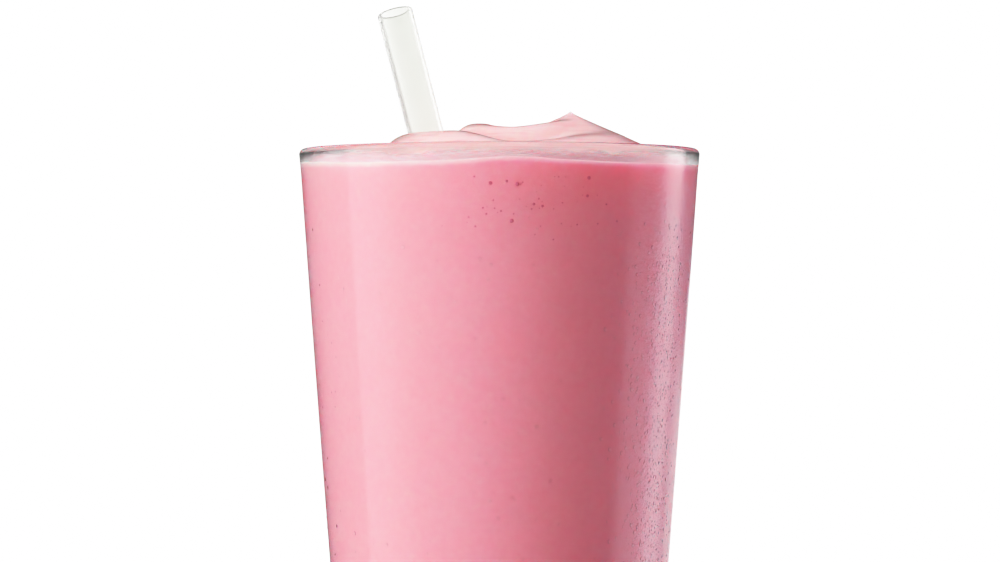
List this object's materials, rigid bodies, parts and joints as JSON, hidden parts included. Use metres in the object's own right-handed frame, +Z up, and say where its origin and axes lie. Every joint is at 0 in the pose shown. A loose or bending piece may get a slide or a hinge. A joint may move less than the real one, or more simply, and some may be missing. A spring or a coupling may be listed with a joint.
{
  "type": "strawberry milkshake in a glass",
  "caption": "Tall tapered clear glass filled with thick pink strawberry milkshake heaped in a soft swirl, with a clear straw leaning in it.",
  "frame": {"origin": "centre of the glass's flat underside", "axes": "+Z up along the glass, -Y towards the viewer, +X to the viewer's right"},
  "size_m": [0.0884, 0.0884, 0.1893],
  "materials": {
    "glass": "clear soda-lime glass, fire-polished lip, faint condensation outside",
    "milkshake": "opaque pink strawberry milkshake, softly glossy, stands in for food",
    "straw": "clear, slightly milky drinking straw plastic"
  },
  "bodies": {
    "root": {"glass": "glass", "milkshake": "milkshake", "straw": "straw"}
  },
  "joints": []
}
